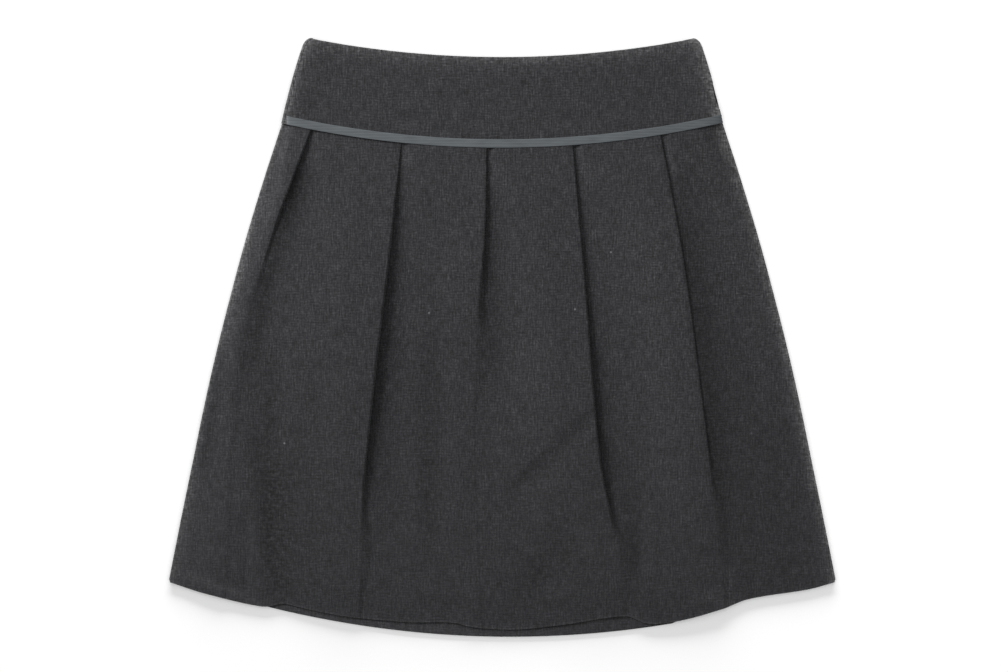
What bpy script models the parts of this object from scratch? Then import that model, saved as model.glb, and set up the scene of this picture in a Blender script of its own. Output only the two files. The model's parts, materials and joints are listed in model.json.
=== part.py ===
"""A pleated skater skirt, laid flat on its back.

Metres, +Z up. The skirt lies on the XY plane with its waist towards +Y and its front facing up.
The origin is at the middle of its bounding box, on the surface that it lies on. Left and right are
those of someone who looks down at it.
"""

import math
from collections import namedtuple

import bmesh
import bpy

# ---- Cloth: every wall is given by its full thickness -----------------------------------------
PANEL_WALL = 0.0012  # one layer of suiting
YOKE_WALL = 0.0018  # two layers of suiting stitched together
RIBBON_WALL = 0.0010
ZIP_WALL = 0.0010
SEAM_GAP = 0.0003  # between neighbouring pieces
FOLD_RADIUS = 0.0008  # middle of the cloth round the edge of a tucked pleat

# ---- Edges that run across the skirt are shallow arcs: y = middle + bow * (x - shift) ** 2 ------
Arc = namedtuple("Arc", "middle bow shift")
WAIST = Arc(middle=0.2323, bow=0.605, shift=0.0)
YOKE_SEAM = Arc(middle=0.1578, bow=0.629, shift=0.001)
BACK_HEM = Arc(middle=-0.2476, bow=0.610, shift=0.0068)

# ---- The front hem dips between the pleats and climbs at their folds ----------------------------
HemPoint = namedtuple("HemPoint", "x y")
FRONT_HEM = (
    HemPoint(-0.2762, -0.2024),
    HemPoint(-0.2479, -0.2115),
    HemPoint(-0.1975, -0.2228),
    HemPoint(-0.1820, -0.2200),
    HemPoint(-0.1669, -0.2235),
    HemPoint(-0.1324, -0.2303),
    HemPoint(-0.0792, -0.2354),
    HemPoint(-0.0412, -0.2358),
    HemPoint(-0.0260, -0.2394),
    HemPoint(0.0080, -0.2416),
    HemPoint(0.0481, -0.2379),
    HemPoint(0.1027, -0.2305),
    HemPoint(0.1205, -0.2367),
    HemPoint(0.1457, -0.2346),
    HemPoint(0.1821, -0.2247),
    HemPoint(0.2044, -0.2164),
    HemPoint(0.2549, -0.2082),
    HemPoint(0.2762, -0.2024),
)

# ---- Half the skirt's width, from the waist down ------------------------------------------------
Width = namedtuple("Width", "y half")
OUTLINE = (
    Width(0.2500, 0.1624),
    Width(0.2293, 0.1691),
    Width(0.2128, 0.1738),
    Width(0.1962, 0.1781),
    Width(0.1863, 0.1805),
    Width(0.1780, 0.1824),
    Width(0.1632, 0.1871),
    Width(0.1466, 0.1926),
    Width(0.1135, 0.2030),
    Width(0.0805, 0.2128),
    Width(0.0474, 0.2218),
    Width(-0.0022, 0.2345),
    Width(-0.0519, 0.2459),
    Width(-0.1015, 0.2561),
    Width(-0.1511, 0.2663),
    Width(-0.2024, 0.2765),
)
WAIST_CORNER_RADIUS = 0.0066
WAIST_CORNER_SHARE = 0.7  # the corners are a little squarer than a quarter circle
HEM_CORNER_CUT = 0.0012
HEMS_MEET_RUN = 0.030  # from each side, where the back hem leaves the front hem

# ---- Knife pleats. Each has its values at five stations: at the seam, a quarter, half and three
# quarters of the way down, and at the hem. fold is the x of its folded edge. tuck is how much cloth
# lies folded under it, and where it is negative the pleat has opened out by that much.
Pleat = namedtuple("Pleat", "fold tuck")
STATIONS = (0.0, 0.25, 0.5, 0.75, 1.0)
PLEATS = (
    Pleat((-0.1561, -0.1929, -0.2198, -0.2281, -0.2314), (0.007, 0.006, -0.009, -0.012, -0.012)),
    Pleat((-0.0850, -0.0945, -0.1061, -0.1164, -0.1073), (0.028, 0.022, 0.012, 0.003, -0.009)),
    Pleat((-0.0147, -0.0172, -0.0238, -0.0230, -0.0180), (0.026, 0.010, -0.009, -0.012, -0.010)),
    Pleat((0.0572, 0.0663, 0.0746, 0.0849, 0.1027), (0.028, 0.026, 0.020, 0.012, 0.006)),
    Pleat((0.1292, 0.1472, 0.1610, 0.1730, 0.1953), (0.026, 0.020, 0.012, 0.004, -0.004)),
)
FULLY_OPEN = 0.012  # how far a pleat opens before its fold is gone
MOST_OPEN = 0.97  # it keeps a faint step even then
OPEN_RUN = 0.004  # the sloping cloth between the two bends of an opened pleat
LEAST_RUN = 0.0005  # straight cloth left between the two bends of any pleat
RISE_RUN = 0.038  # length over which a face climbs on to the tuck below it
FACE_START = 0.0015  # width kept clear where a face comes out from under its neighbour
RISE_CLEARANCE = 0.0009  # between the end of that climb and the tuck's inner bend

# ---- Side folds and side seams ------------------------------------------------------------------
SIDE_LIFT = 0.0022  # the side folds stand this much higher than two pressed layers
SIDE_LIFT_RUN = 0.036
LEFT_SEAM_INSET = 0.0045  # the left side seam lies on the front, this far from the fold
RIGHT_SEAM_INSET = 0.0029
YOKE_LEFT_SEAM_INSET = 0.0042
ZIP_SLIT = 0.0016  # widest gape of the closed zip beside the front yoke
YOKE_SEAM_LIFT = 0.0009  # the front yoke rises on to the tops of the pleats

# ---- Ribbon and zip -----------------------------------------------------------------------------
RIBBON_WIDTH = 0.0070
ZIP_LENGTH = 0.175
ZIP_WIDTH = 0.0050
ZIP_TOP_INSET = 0.004
ZIP_SIDE_INSET = 0.0028
ZIP_DROP_RUN = 0.012  # where the zip comes down from the yoke's thickness to the panel's

# ---- Soft troughs and ridges pressed into the front, as cloth that has been lying ---------------
Crease = namedtuple("Crease", "x0 y0 x1 y1 width height")
CREASES = (
    Crease(x0=-0.199, y0=-0.090, x1=-0.183, y1=-0.222, width=0.009, height=-0.0016),
    Crease(x0=-0.213, y0=-0.160, x1=-0.214, y1=-0.205, width=0.008, height=-0.0010),
    Crease(x0=0.075, y0=-0.066, x1=0.003, y1=-0.129, width=0.011, height=-0.0015),
    Crease(x0=0.060, y0=-0.110, x1=0.030, y1=-0.150, width=0.016, height=0.0012),
    Crease(x0=-0.088, y0=-0.080, x1=-0.086, y1=-0.160, width=0.010, height=-0.0009),
    Crease(x0=0.036, y0=-0.180, x1=0.030, y1=-0.228, width=0.012, height=-0.0010),
    Crease(x0=0.215, y0=0.010, x1=0.240, y1=-0.150, width=0.012, height=-0.0009),
)
SWELL = 0.0020  # the front stands this much off the back, away from the seams
SWELL_AT_HEM = 0.0013
SWELL_SIDE_RUN = 0.050
SWELL_TOP_RUN = 0.18  # as a share of the panel's height

# ---- Levels of the middle of each layer ---------------------------------------------------------
BACK_LEVEL = PANEL_WALL / 2
FRONT_LEVEL = PANEL_WALL + SEAM_GAP + PANEL_WALL / 2
BACK_YOKE_LEVEL = YOKE_WALL / 2
FRONT_YOKE_LEVEL = YOKE_WALL + SEAM_GAP + YOKE_WALL / 2

# ---- Mesh ---------------------------------------------------------------------------------------
PANEL_ROWS = 19
HEM_ROUNDING_ROW = 0.992
BEND_STEPS = 4
SIDE_BEND_STEPS = 6
YOKE_ROW_STOPS = (0.0, 0.012, 0.035, 0.065, 0.10, 0.25, 0.40, 0.55, 0.70, 0.85, 1.0)
YOKE_COLUMNS = 26
RIBBON_COLUMNS = 44
ZIP_ROWS = 18

# ---- Colours, linear ----------------------------------------------------------------------------
Finish = namedtuple("Finish", "colour roughness")
CHARCOAL_SUITING = Finish((0.042, 0.042, 0.045, 1.0), 0.95)
GREY_BLUE_RIBBON = Finish((0.115, 0.128, 0.138, 1.0), 0.55)
BLACK_TAPE = Finish((0.012, 0.012, 0.013, 1.0), 0.80)


# ---- Curves -------------------------------------------------------------------------------------
def mix(a, b, share):
    return a + (b - a) * share


def ease(share):
    """0 to 1 with level ends."""
    share = min(max(share, 0.0), 1.0)
    return share * share * (3.0 - 2.0 * share)


def follow(knots, values, at):
    """A smooth curve through the values at rising knots, straight on beyond its ends."""
    last = len(knots) - 1
    if at <= knots[0] or at >= knots[last]:
        a, b = (0, 1) if at <= knots[0] else (last - 1, last)
        return values[a] + (values[b] - values[a]) * (at - knots[a]) / (knots[b] - knots[a])
    i = max(k for k in range(last) if knots[k] <= at)

    def slope(k):
        a, b = max(k - 1, 0), min(k + 1, last)
        return (values[b] - values[a]) / (knots[b] - knots[a])

    span = knots[i + 1] - knots[i]
    t = (at - knots[i]) / span
    return (
        values[i] * (1 + 2 * t) * (1 - t) ** 2
        + slope(i) * span * t * (1 - t) ** 2
        + values[i + 1] * t * t * (3 - 2 * t)
        + slope(i + 1) * span * t * t * (t - 1)
    )


def arc_y(arc, x):
    return arc.middle + arc.bow * (x - arc.shift) ** 2


def half_width(y):
    """Half the skirt's width at height y. The table runs down, so it is read backwards."""
    rows = OUTLINE[::-1]
    return follow([row.y for row in rows], [row.half for row in rows], y)


def front_hem_y(x):
    return follow([point.x for point in FRONT_HEM], [point.y for point in FRONT_HEM], x)


def back_hem_y(x):
    """The back hem is one arc, which meets the front hem at the side folds."""
    return mix(arc_y(BACK_HEM, x), front_hem_y(x), ease(1.0 - (HEM_END[0] - abs(x)) / HEMS_MEET_RUN))


def side_end(arc):
    """Where an arc across the skirt meets the side: its x and its y there."""
    x = half_width(arc.middle)
    for _ in range(12):
        x = half_width(arc_y(arc._replace(shift=0.0), x))
    return x, arc_y(arc._replace(shift=0.0), x)


SEAM_END = side_end(YOKE_SEAM)
WAIST_END = side_end(WAIST)
HEM_END = (FRONT_HEM[-1].x, FRONT_HEM[-1].y)


# ---- Rows of the skirt panels: v is 0 at the yoke seam and 1 at the hem -------------------------
def panel_half(v):
    cut = HEM_CORNER_CUT if v >= 1.0 else 0.0
    return half_width(mix(SEAM_END[1], HEM_END[1], v)) - cut


def panel_y(x, v, hem_y):
    across = x / panel_half(v)
    seam = arc_y(YOKE_SEAM, across * SEAM_END[0]) - SEAM_GAP / 2
    return mix(seam, hem_y(across * HEM_END[0]), v)


def panel_rows():
    """Even rows, and one just above the hem, where the corners start to round."""
    return [k / PANEL_ROWS for k in range(PANEL_ROWS)] + [HEM_ROUNDING_ROW, 1.0]


# ---- Rows of the yokes: v is 0 at the waist and 1 at the seam -----------------------------------
def yoke_half(v):
    y = mix(WAIST_END[1], SEAM_END[1], v)
    below = WAIST_END[1] - y
    if below >= WAIST_CORNER_RADIUS:
        return half_width(y)
    rest = WAIST_CORNER_RADIUS - below
    rounding = WAIST_CORNER_RADIUS - math.sqrt(WAIST_CORNER_RADIUS**2 - rest**2)
    return half_width(y) - WAIST_CORNER_SHARE * rounding


def yoke_y(x, v):
    across = x / yoke_half(v)
    seam = arc_y(YOKE_SEAM, across * SEAM_END[0]) + SEAM_GAP / 2
    return mix(arc_y(WAIST, across * yoke_half(0.0)), seam, v)


# ---- Heights ------------------------------------------------------------------------------------
def side_lift(x, half):
    return SIDE_LIFT * ease(1.0 - (half - abs(x)) / SIDE_LIFT_RUN)


def crease_height(crease, x, y):
    """A soft trough or ridge along a line, which fades out at both ends."""
    dx, dy = crease.x1 - crease.x0, crease.y1 - crease.y0
    length = math.hypot(dx, dy)
    along = ((x - crease.x0) * dx + (y - crease.y0) * dy) / length
    across = ((x - crease.x0) * dy - (y - crease.y0) * dx) / length
    fade = ease(along / (length / 4) + 0.5) * ease((length - along) / (length / 4) + 0.5)
    return crease.height * fade * math.exp(-((across / crease.width) ** 2))


def swell(x, y, v, half):
    """How far the front stands off the back, beyond pressed layers."""
    inside = ease((half - abs(x)) / SWELL_SIDE_RUN) * ease(v / SWELL_TOP_RUN)
    pressed = sum(crease_height(crease, x, y) for crease in CREASES)
    return max(0.0, inside * (mix(SWELL, SWELL_AT_HEM, v) + pressed))


def front_base(x, v):
    """Middle of the lowest front layer."""
    half = panel_half(v)
    return FRONT_LEVEL + side_lift(x, half) + swell(x, panel_y(x, v, front_hem_y), v, half)


def front_yoke_level(x, v):
    edge = side_lift(x, yoke_half(v))
    return FRONT_YOKE_LEVEL + edge + YOKE_SEAM_LIFT * v * v * (1.0 - edge / SIDE_LIFT)


# ---- One pleat's fold ---------------------------------------------------------------------------
Fold = namedtuple("Fold", "start_x height path inner_x end_x")


def fold_of(pleat, v):
    """The S that a pleat makes: over its folded edge, back under it, and out again at the base."""
    edge_x = follow(STATIONS, pleat.fold, v)
    tuck = follow(STATIONS, pleat.tuck, v)
    opened = min(max(-tuck / FULLY_OPEN, 0.0), MOST_OPEN)
    turn = math.pi * (1.0 - opened)
    radius = math.pi * FOLD_RADIUS / turn
    run = max(tuck, 0.0) + LEAST_RUN + OPEN_RUN * opened**2
    bends = [turn * k / BEND_STEPS for k in range(BEND_STEPS + 1)]
    path = [(radius * math.sin(a), radius * (math.cos(a) - 1.0)) for a in bends]
    x, z = path[-1]
    path.append((x + run / 2 * math.cos(turn), z - run / 2 * math.sin(turn)))
    x, z = x + run * math.cos(turn), z - run * math.sin(turn)
    centre_x, centre_z = x + radius * math.sin(turn), z + radius * math.cos(turn)
    path += [(centre_x - radius * math.sin(a), centre_z - radius * math.cos(a)) for a in bends[::-1]]
    end_x, end_z = path[-1]
    reach = radius if turn >= math.pi / 2 else end_x / 2
    start_x = edge_x - reach
    return Fold(
        start_x=start_x,
        height=-end_z,
        path=[(start_x + dx, dz - end_z) for dx, dz in path],
        inner_x=start_x + min(dx for dx, _ in path),
        end_x=start_x + end_x,
    )


def spaced(stops, counts):
    """Points along a line: each stretch between two stops is divided by its count."""
    points = [stops[0]]
    for a, b, count in zip(stops, stops[1:], counts):
        points += [mix(a, b, k / count) for k in range(1, count + 1)]
    return points


def front_section(v):
    """The middle line of the pleated front at row v, from left to right, as (x, height over the base)."""
    half = panel_half(v)
    start = -(half - LEFT_SEAM_INSET - SEAM_GAP)
    emerge = start + FACE_START
    points = []
    for pleat in PLEATS:
        fold = fold_of(pleat, v)
        rise_end = fold.inner_x - RISE_CLEARANCE
        room = rise_end - emerge
        rise_start = rise_end - min(RISE_RUN, 0.85 * room)
        face = spaced((start, emerge, rise_start, rise_end, fold.start_x), (2, 2, 4, 2))
        climb = rise_end - rise_start
        points += [(x, fold.height * ease((x - rise_start) / climb)) for x in face]
        points += fold.path[1:]
        start = points.pop()[0]
        emerge = max(fold.end_x, follow(STATIONS, pleat.fold, v)) + FACE_START
    right = half - RIGHT_SEAM_INSET - SEAM_GAP
    points += [(x, 0.0) for x in spaced((start, emerge, right), (2, 6))]
    return points


# ---- Sheets -------------------------------------------------------------------------------------
def sheet(name, rows, wall, finish):
    """A cloth wall whose middle is a grid: rows of equally many points, the first row uppermost."""
    mesh = bpy.data.meshes.new(name)
    bm = bmesh.new()
    columns, last_row = len(rows[0]), len(rows) - 1
    bmesh.ops.create_grid(bm, x_segments=columns - 1, y_segments=last_row, size=0.5)
    for vert in bm.verts:
        column = round((vert.co.x + 0.5) * (columns - 1))
        row = round((0.5 - vert.co.y) * last_row)
        vert.co = rows[row][column]
    bm.to_mesh(mesh)
    bm.free()
    mesh.shade_smooth()
    mesh.materials.append(material_of(name, finish))
    piece = bpy.data.objects.new(name, mesh)
    solidify = piece.modifiers.new("wall", "SOLIDIFY")
    solidify.thickness = wall
    solidify.offset = 0.0
    bpy.data.collections[COLLECTION].objects.link(piece)
    return piece


def material_of(name, finish):
    material = bpy.data.materials.new(name)
    material.use_nodes = True
    shader = material.node_tree.nodes["Principled BSDF"]
    shader.inputs["Base Color"].default_value = finish.colour
    shader.inputs["Roughness"].default_value = finish.roughness
    shader.inputs["Metallic"].default_value = 0.0
    return material


def side_bend(edge_x, low, high, wall, side):
    """Points round a side fold, from the upper layer to the lower one. side is -1 or 1."""
    radius = (high - low) / 2
    centre_x, centre_z = edge_x - side * (radius + wall / 2), (low + high) / 2
    turns = [math.pi * k / SIDE_BEND_STEPS for k in range(SIDE_BEND_STEPS + 1)]
    return [(centre_x + side * radius * math.sin(a), centre_z + radius * math.cos(a)) for a in turns]


# ---- Pieces -------------------------------------------------------------------------------------
def build_back_panel():
    rows = []
    for v in panel_rows():
        half = panel_half(v)
        left = side_bend(-half, BACK_LEVEL, front_base(-half, v), PANEL_WALL, -1)
        right = side_bend(half, BACK_LEVEL, front_base(half, v), PANEL_WALL, 1)[::-1]
        left_end, right_end = -(half - LEFT_SEAM_INSET), half - RIGHT_SEAM_INSET
        section = [(left_end, front_base(left_end, v))] + left
        section += [(x, BACK_LEVEL) for x in spaced((left[-1][0], right[0][0]), (18,))[1:-1]]
        section += right + [(right_end, front_base(right_end, v))]
        rows.append([(x, panel_y(x, v, back_hem_y), z) for x, z in section])
    return sheet("back_panel", rows, PANEL_WALL, CHARCOAL_SUITING)


def build_front_panel():
    rows = []
    for v in panel_rows():
        section = front_section(v)
        rows.append([(x, panel_y(x, v, front_hem_y), front_base(x, v) + up) for x, up in section])
    return sheet("front_panel", rows, PANEL_WALL, CHARCOAL_SUITING)


def build_back_yoke():
    rows = []
    for v in YOKE_ROW_STOPS:
        half = yoke_half(v)
        upper = front_yoke_level(-half, v)
        left = side_bend(-half, BACK_YOKE_LEVEL, upper, YOKE_WALL, -1)
        left_end = -(half - YOKE_LEFT_SEAM_INSET)
        section = [(left_end, front_yoke_level(left_end, v))] + left
        section += [(x, BACK_YOKE_LEVEL) for x in spaced((left[-1][0], half), (YOKE_COLUMNS,))[1:]]
        rows.append([(x, yoke_y(x, v), z) for x, z in section])
    return sheet("back_yoke", rows, YOKE_WALL, CHARCOAL_SUITING)


def zip_gape(v):
    """The slit beside the front yoke opens slowly from the waist and closes near the seam."""
    return ZIP_SLIT * ease(v / 0.65) * ease((1.0 - v) / 0.2)


def front_yoke_ends(v):
    half = yoke_half(v)
    return -(half - YOKE_LEFT_SEAM_INSET - SEAM_GAP), half - zip_gape(v)


def build_front_yoke():
    rows = []
    for v in YOKE_ROW_STOPS:
        xs = spaced(front_yoke_ends(v), (YOKE_COLUMNS,))
        rows.append([(x, yoke_y(x, v), front_yoke_level(x, v)) for x in xs])
    return sheet("front_yoke", rows, YOKE_WALL, CHARCOAL_SUITING)


def build_front_trim():
    """The ribbon: the yoke's own lower edge, moved out by half of both walls and the gap."""
    above = (YOKE_WALL + RIBBON_WALL) / 2 + SEAM_GAP
    rows = []
    left, right = front_yoke_ends(1.0)
    xs = spaced((left, right - SEAM_GAP), (RIBBON_COLUMNS,))
    for up in (RIBBON_WIDTH, RIBBON_WIDTH / 2, 0.0):
        y_up = up + SEAM_GAP / 2
        rows.append([(x, arc_y(YOKE_SEAM, x) + y_up, front_yoke_level(x, 1.0) + above) for x in xs])
    return sheet("front_trim", rows, RIBBON_WALL, GREY_BLUE_RIBBON)


def build_side_zip():
    """The closed zip's tape, inside the right side fold, from the waist down into the skirt."""
    top_y = WAIST_END[1] - ZIP_TOP_INSET
    high = YOKE_WALL + SEAM_GAP + ZIP_WALL / 2
    low = PANEL_WALL + SEAM_GAP + ZIP_WALL / 2
    rows = []
    for k in range(ZIP_ROWS + 1):
        y = top_y - ZIP_LENGTH * k / ZIP_ROWS
        right = half_width(y) - ZIP_SIDE_INSET
        z = mix(high, low, ease((SEAM_END[1] - 0.001 - y) / ZIP_DROP_RUN))
        rows.append([(x, y, z) for x in spaced((right - ZIP_WIDTH, right), (2,))])
    return sheet("side_zip", rows, ZIP_WALL, BLACK_TAPE)


COLLECTION = "skater_skirt"


def main():
    for old in list(bpy.data.objects):
        bpy.data.objects.remove(old)
    bpy.context.scene.collection.children.link(bpy.data.collections.new(COLLECTION))
    build_back_panel()
    build_front_panel()
    build_back_yoke()
    build_front_yoke()
    build_front_trim()
    build_side_zip()


main()
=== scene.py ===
"""The looks of a pleated skater skirt that lies flat on its back on a pale floor.

Metres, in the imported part's own frame: +Z up, the waist towards +Y and the front facing up. Left and
right are those of someone who looks down at the skirt.
"""

import json
import logging
import math
from collections.abc import Callable, Sequence
from dataclasses import dataclass
from enum import Enum

import bmesh
import bpy
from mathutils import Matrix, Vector, noise

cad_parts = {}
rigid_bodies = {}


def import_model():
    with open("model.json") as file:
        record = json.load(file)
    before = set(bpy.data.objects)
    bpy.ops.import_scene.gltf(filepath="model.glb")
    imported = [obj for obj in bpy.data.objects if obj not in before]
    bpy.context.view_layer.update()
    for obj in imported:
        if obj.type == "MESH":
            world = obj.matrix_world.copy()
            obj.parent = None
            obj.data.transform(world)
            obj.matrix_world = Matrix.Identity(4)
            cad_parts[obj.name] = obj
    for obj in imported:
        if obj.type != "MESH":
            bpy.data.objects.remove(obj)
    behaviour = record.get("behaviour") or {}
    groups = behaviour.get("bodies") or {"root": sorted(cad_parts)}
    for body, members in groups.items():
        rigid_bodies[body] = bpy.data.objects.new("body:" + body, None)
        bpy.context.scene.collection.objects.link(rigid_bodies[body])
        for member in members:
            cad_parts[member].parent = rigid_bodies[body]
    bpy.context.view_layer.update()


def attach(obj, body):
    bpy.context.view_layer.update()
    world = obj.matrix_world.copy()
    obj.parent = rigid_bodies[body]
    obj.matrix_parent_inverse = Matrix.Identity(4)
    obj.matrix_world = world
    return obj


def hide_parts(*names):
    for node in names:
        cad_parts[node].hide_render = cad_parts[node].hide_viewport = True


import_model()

LOG = logging.getLogger("skirt")
CLOTH_UV = "cloth"  # metres along the cloth's grain
PAINTED_TONE = "tone"  # how much lighter or darker the cloth is painted: painted highlights and painted shade

Pair = tuple[float, float]
Point = tuple[float, float, float]
Colour = tuple[float, float, float, float]
Five = tuple[float, float, float, float, float]
Node = bpy.types.Node
Socket = bpy.types.NodeSocket
Material = bpy.types.Material
Piece = bpy.types.Object
Settings = dict[str, object]


# ---- Curves ----
def mix(a: float, b: float, share: float) -> float:
    """The value a share of the way from a to b."""
    return a + (b - a) * share


def ease(share: float) -> float:
    """0 to 1 with level ends."""
    share = min(max(share, 0.0), 1.0)
    return share * share * (3.0 - 2.0 * share)


def spaced(stops: Sequence[float], counts: Sequence[int]) -> list[float]:
    """Points along a line.

    Args:
        stops: The places that the points must include, in order.
        counts: How many equal steps each stretch between two stops gets.

    Returns:
        All the points, the stops among them.
    """
    points = [stops[0]]
    for a, b, count in zip(stops, stops[1:], counts):
        points += [mix(a, b, k / count) for k in range(1, count + 1)]
    return points


@dataclass(frozen=True)
class Curve:
    """A smooth curve through values at rising knots, straight on beyond its ends."""

    knots: tuple[float, ...]
    values: tuple[float, ...]

    def slope(self, k: int) -> float:
        """The curve's slope at knot k."""
        a, b = max(k - 1, 0), min(k + 1, len(self.knots) - 1)
        return (self.values[b] - self.values[a]) / (self.knots[b] - self.knots[a])

    def at(self, place: float) -> float:
        """The curve's value at a place.

        Args:
            place: Where along the knots to read it.

        Returns:
            The value there.
        """
        knots, values, last = self.knots, self.values, len(self.knots) - 1
        if place <= knots[0] or place >= knots[last]:
            a, b = (0, 1) if place <= knots[0] else (last - 1, last)
            slope = (values[b] - values[a]) / (knots[b] - knots[a])
            return values[a] + slope * (place - knots[a])
        i = max(k for k in range(last) if knots[k] <= place)
        span = knots[i + 1] - knots[i]
        t = (place - knots[i]) / span
        return (
            values[i] * (1 + 2 * t) * (1 - t) ** 2
            + self.slope(i) * span * t * (1 - t) ** 2
            + values[i + 1] * t * t * (3 - 2 * t)
            + self.slope(i + 1) * span * t * t * (t - 1)
        )


@dataclass(frozen=True)
class Arc:
    """A shallow arc across the skirt: y = middle + bow * (x - shift) ** 2."""

    middle: float
    bow: float
    shift: float = 0.0

    def y(self, x: float) -> float:
        """The arc's y at x."""
        return self.middle + self.bow * (x - self.shift) ** 2


@dataclass(frozen=True)
class Stroke:
    """A soft line that fades out at both ends, and what it adds in its middle."""

    start: Pair
    end: Pair
    width: float
    height: float

    def at(self, x: float, y: float) -> float:
        """Reads the stroke at a place.

        Args:
            x: The place across the skirt.
            y: The place along the skirt.

        Returns:
            What it adds there.
        """
        dx, dy = self.end[0] - self.start[0], self.end[1] - self.start[1]
        length = math.hypot(dx, dy)
        along = ((x - self.start[0]) * dx + (y - self.start[1]) * dy) / length
        across = ((x - self.start[0]) * dy - (y - self.start[1]) * dx) / length
        if abs(across) > 3 * self.width:
            return 0.0
        fade = ease(along / (length / 4) + 0.5) * ease((length - along) / (length / 4) + 0.5)
        return self.height * fade * math.exp(-((across / self.width) ** 2))


def strokes(*rows: tuple[float, float, float, float, float, float]) -> tuple[Stroke, ...]:
    """Strokes from rows of start x and y, end x and y, width and height."""
    return tuple(Stroke(row[:2], row[2:4], *row[4:]) for row in rows)


@dataclass(frozen=True)
class Rim:
    """A painted highlight along an edge, where the fibres would catch the light: how much lighter it looks
    there, and how soon that fades.
    """

    height: float
    run: float

    def at(self, inwards: float) -> float:
        """How much lighter it looks at a distance in from the edge."""
        return self.height * math.exp(-max(inwards, 0.0) / self.run)


@dataclass(frozen=True)
class Pleat:
    """One knife pleat, as curves from the yoke seam (0) to the hem (1).

    fold is the x of the folded edge. tuck is how much cloth lies folded under it, and where it is
    negative the pleat has opened out by that much. roll is the radius of its bends, a quarter of its
    height, and spread the widest that its slope gets once it is open. ridge is how high the skirt
    swells under the folded edge: it rises from the left over rise and falls to the right over fall.
    """

    fold: Curve
    tuck: Curve
    roll: Curve
    ridge: Curve
    spread: float
    rise: float = 0.045
    fall: float = 0.018

    def swell(self, x: float, v: float) -> float:
        """How far the ridge lifts the cloth at x in row v."""
        off = x - self.fold.at(v)
        return self.ridge.at(v) * math.exp(-((off / (self.rise if off < 0 else self.fall)) ** 2))


STATIONS = (0.0, 0.25, 0.5, 0.75, 1.0)


def pleat(fold: Five, tuck: Five, roll: Five, ridge: Five, stations: Five = STATIONS, **runs: float) -> Pleat:
    """A pleat from what its curves are at five stations, and its runs."""
    return Pleat(*(Curve(stations, values) for values in (fold, tuck, roll, ridge)), **runs)


@dataclass(frozen=True)
class Fold:
    """Where one pleat's cloth runs at one row: its path as (x, height over the base)."""

    start_x: float
    height: float
    path: tuple[Pair, ...]
    inner_x: float
    end_x: float


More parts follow.
